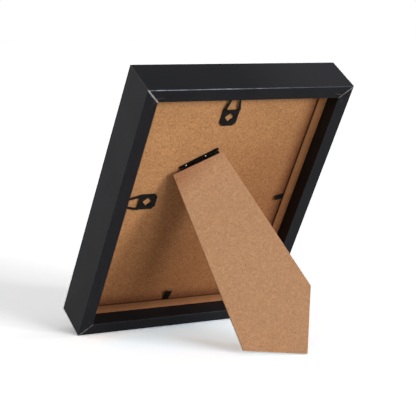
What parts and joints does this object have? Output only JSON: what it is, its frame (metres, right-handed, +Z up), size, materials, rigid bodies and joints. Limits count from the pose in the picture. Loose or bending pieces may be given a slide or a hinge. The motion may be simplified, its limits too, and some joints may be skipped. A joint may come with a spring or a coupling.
{
  "type": "picture frame",
  "caption": "Deep box picture frame, back view, leaning on a folding diagonal easel leg; back board, bend tabs and sawtooth hangers.",
  "frame": {"origin": "on the floor under the middle of the whole, with the leg open as in the picture", "axes": "+Z up; the picture side faces -Y and leans back, the leg stands behind towards +Y; +X is to the right of someone who looks at the picture"},
  "size_m": [0.1606, 0.1466, 0.1988],
  "materials": {
    "black_foil": "fibreboard moulding wrapped in satin black foil",
    "bare_fibreboard": "bare sawn fibreboard",
    "hardboard": "smooth side of brown hardboard",
    "leg_hardboard": "smooth side of brown hardboard, bare cut edges",
    "mat_card": "matt white card",
    "paper": "plain light paper",
    "glazing": "clear",
    "black_steel": "thin black enamel on sheet steel",
    "bright_steel": "bright plated",
    "nail_steel": "plain spring steel"
  },
  "bodies": {
    "frame": {"rail_bottom": "black_foil", "rail_right": "black_foil", "rail_top": "black_foil", "rail_left": "black_foil", "liner_bottom": "bare_fibreboard", "liner_right": "bare_fibreboard", "liner_top": "bare_fibreboard", "liner_left": "bare_fibreboard", "v_nail_bottom_left": "nail_steel", "v_nail_bottom_right": "nail_steel", "v_nail_top_right": "nail_steel", "v_nail_top_left": "nail_steel", "glazing": "glazing", "mat": "mat_card", "insert_sheet": "paper", "back_board": "hardboard", "hanger_top": "black_steel", "hanger_left": "black_steel", "tab_shank_bottom": "black_steel", "tab_shank_right": "black_steel", "hinge_board_leaf": "black_steel", "hinge_pin": "black_steel", "hinge_rivet_left": "bright_steel", "hinge_rivet_right": "bright_steel"},
    "leg": {"leg": "leg_hardboard", "hinge_leg_leaf": "black_steel"},
    "tab_bottom": {"tab_blade_bottom": "black_steel"},
    "tab_right": {"tab_blade_right": "black_steel"}
  },
  "joints": [
    {"name": "leg_hinge", "type": "hinge", "parent": "frame", "child": "leg", "pos_m": [0.0199, 0.01679, 0.12953], "axis": [-0.866, 0.2517, 0.432], "range_deg": [0, 47]},
    {"name": "tab_bottom_bend", "type": "hinge", "parent": "frame", "child": "tab_bottom", "pos_m": [0.0088, -0.04797, 0.02028], "axis": [-1, 0, 0], "range_deg": [-13, 77]},
    {"name": "tab_right_bend", "type": "hinge", "parent": "frame", "child": "tab_right", "pos_m": [-0.06345, -0.00171, 0.09968], "axis": [0, 0.5035, 0.864], "range_deg": [-14, 76]}
  ]
}
